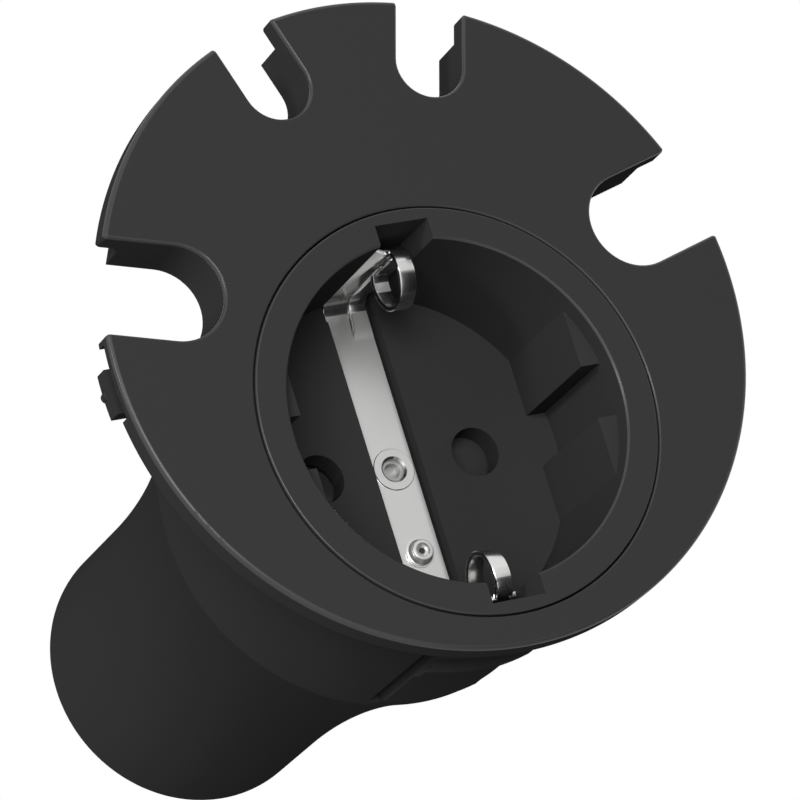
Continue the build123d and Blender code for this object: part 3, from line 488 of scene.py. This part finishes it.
flare = (flare_length**2 + flare_reach**2) / (2 * flare_reach)
hood_plastic = shader("hood_plastic", (0.042, 0.042, 0.0425), 0.42, specular=0.0, grain=0.2)
levels = [flare_top - flare_length * i / 40 for i in range(41)]
hood_profile = [(neck_r + flare_reach, hood_edge)] + [(hood_radius(z), z) for z in levels]
hood_profile += [(neck_r, hood_end + hood_end_round)]
hood_profile += arc(neck_r - hood_end_round, hood_end + hood_end_round, hood_end_round, -10, -90, 7)
hood_profile += [(bush_r, hood_end), (bush_r, bush_ledge)]
hood_profile += [(neck_r - hood_wall, bush_ledge), (neck_r - hood_wall, neck_top)]
hood_profile += [(r, z) for z in levels[::-1] if (r := hood_radius(z, hood_wall)) < ledge_r]
hood_profile += [(ledge_r, -30.0), (ledge_r, ledge_z), (collar_inside, ledge_z)]
hood_profile += [(collar_inside, hood_edge), (22.2, -0.02), (23.5, -0.02)]
hood = lathe("hood", hood_profile, y=socket_y, steps=220)
tongue_profile = [(tongue_inside, tongue_root), (tongue_outside, tongue_root)]
tongue_profile += [(tongue_outside, hood_edge), (tongue_inside, hood_edge)]
nose_profile = [(tongue_inside, -9.0), (nose_reach, -10.3), (nose_reach, -11.3)]
nose_profile += [(tongue_outside, -15.2), (tongue_inside, -15.2)]
tongue = lathe("tongue", tongue_profile, y=socket_y, steps=220)
nose = lathe("nose", nose_profile, y=socket_y, steps=220)
combine(tongue, [brick("keep", -tongue_half, tongue_half, -40, -25, -24, 1)], "INTERSECT")
combine(nose, [brick("keep", -nose_half, nose_half, -40, -25, -24, 1)], "INTERSECT")
combine(hood, [tongue, nose], "UNION")
slots = [
    brick("slot", x - slot_half, x + slot_half, -34.3, -28, -24.6, 1) for x in (-slot_x, slot_x)
]
combine(hood, slots, "DIFFERENCE")
dress(hood, "body_shell", hood_plastic, bevel=0.12)

# Cable bush
# A moulded ring of soft matt rubber with an outer flange and an inner lip. It snaps into the round
# opening in the hood's end and guards the supply cable there.
bush_bore, bush_flange, bush_lip = 3.3, 6.8, 6.4
bush_rubber = shader("bush_rubber", (0.014, 0.014, 0.014), 0.7, specular=0.3, grain=0.3)
bush_profile = [(bush_bore, -84.0)] + arc(3.6, -84.0, 0.3, 180, 270, 6)
bush_profile += arc(6.4, -83.9, 0.4, -90, 0, 8)
bush_profile += [(bush_flange, hood_end), (bush_r, hood_end), (bush_r, bush_ledge)]
bush_profile += [(bush_lip, bush_ledge), (bush_lip, -79.9), (bush_bore, -79.9)]
dress(lathe("bush", bush_profile, y=socket_y, steps=96), "cable_bush", bush_rubber)

# Floor and surround
# A floor well below the part, and a surround. Both are white to the camera, to reflections and
# through glass, and give a plain level of light otherwise.


def white_where_seen(tree):
    """Socket that is 1 for camera, glossy and transmission rays."""
    path = tree.nodes.new("ShaderNodeLightPath")
    seen = path.outputs["Is Camera Ray"]
    for ray in ("Is Glossy Ray", "Is Transmission Ray"):
        larger = tree.nodes.new("ShaderNodeMath")
        larger.operation = "MAXIMUM"
        tree.links.new(seen, larger.inputs[0])
        tree.links.new(path.outputs[ray], larger.inputs[1])
        seen = larger.outputs["Value"]
    return seen


floor_half, floor_z = 6, -0.4
floor_grey, surround_light = 0.5, 0.26
corners = [(-1, -1), (1, -1), (1, 1), (-1, 1)]
corners = [(floor_half * x, floor_half * y, floor_z) for x, y in corners]
floor = new_object("floor", corners, [[0, 1, 2, 3]])
white = bpy.data.materials.new("floor_white")
white.use_nodes = True
tree = white.node_tree
tree.nodes.clear()
bright = tree.nodes.new("ShaderNodeEmission")
bright.inputs["Strength"].default_value = 1.0
dull = tree.nodes.new("ShaderNodeBsdfDiffuse")
dull.inputs["Color"].default_value = (floor_grey, floor_grey, floor_grey, 1)
mix = tree.nodes.new("ShaderNodeMixShader")
surface = tree.nodes.new("ShaderNodeOutputMaterial")
tree.links.new(white_where_seen(tree), mix.inputs["Fac"])
tree.links.new(dull.outputs["BSDF"], mix.inputs[1])
tree.links.new(bright.outputs["Emission"], mix.inputs[2])
tree.links.new(mix.outputs["Shader"], surface.inputs["Surface"])
floor.data.materials.append(white)

surround = bpy.data.worlds.new("surround")
bpy.context.scene.world = surround
surround.use_nodes = True
tree = surround.node_tree
background = tree.nodes["Background"]
background.inputs["Color"].default_value = (1, 1, 1, 1)
level = tree.nodes.new("ShaderNodeMapRange")
level.inputs["To Min"].default_value = surround_light
level.inputs["To Max"].default_value = 1.0
tree.links.new(white_where_seen(tree), level.inputs["Value"])
tree.links.new(level.outputs["Result"], background.inputs["Strength"])

# Lamps and reflection card
# A broad lamp above and a small one low at the left, which draws the lit rim. A black card that
# only reflections show darkens the bent metal.


def lamp(name, place, size, power):
    """Square area lamp that looks at the part. The place is in metres."""
    data = bpy.data.lights.new(name, "AREA")
    data.shape = "SQUARE"
    data.size = size
    data.energy = power
    obj = bpy.data.objects.new(name, data)
    bpy.context.scene.collection.objects.link(obj)
    obj.location = place
    obj.rotation_mode = "QUATERNION"
    obj.rotation_quaternion = (lamp_aim - Vector(place)).to_track_quat("-Z", "Y")


lamp_aim = Vector((0, -0.01, 0))
lamp("key", (-0.62, -0.05, 1.2), 0.6, 13.4)
lamp("rim", (-1.15, 0.35, 0.62), 0.22, 4.5)
corners = [(0.1, -1.0, 0.15), (0.15, -0.05, 1.05), (0.95, 0.02, 0.6), (0.95, -0.7, 0.05)]
card = new_object("flag", corners, [[0, 1, 2, 3]])
card.data.materials.append(shader("flag_black", (0.01, 0.01, 0.01), 0.5, specular=0.0))
card.visible_camera = False
card.visible_diffuse = False
card.visible_shadow = False

# Camera
# The photo's view, from above and from the left, through a long lens. Its place and its axes were
# fitted to the flange, the notches, the ring and the well floor.
camera_data = bpy.data.cameras.new("camera")
camera = bpy.data.objects.new("camera", camera_data)
bpy.context.scene.collection.objects.link(camera)
camera_data.lens = 252.93
camera_data.sensor_width = 36.0
camera_data.clip_start = 0.01
camera_data.clip_end = 50.0
camera_right = Vector((0.88339744, -0.28826191, 0.36947805))
camera_up = Vector((0.15333855, 0.92283439, 0.35336097))
camera_back = Vector((-0.44282756, -0.25550295, 0.8594312))
turn = Matrix((camera_right, camera_up, camera_back)).transposed().to_4x4()
camera.matrix_world = Matrix.Translation((-0.26795, -0.15917, 0.51017)) @ turn
bpy.context.scene.camera = camera
bpy.context.scene.view_settings.view_transform = "Standard"
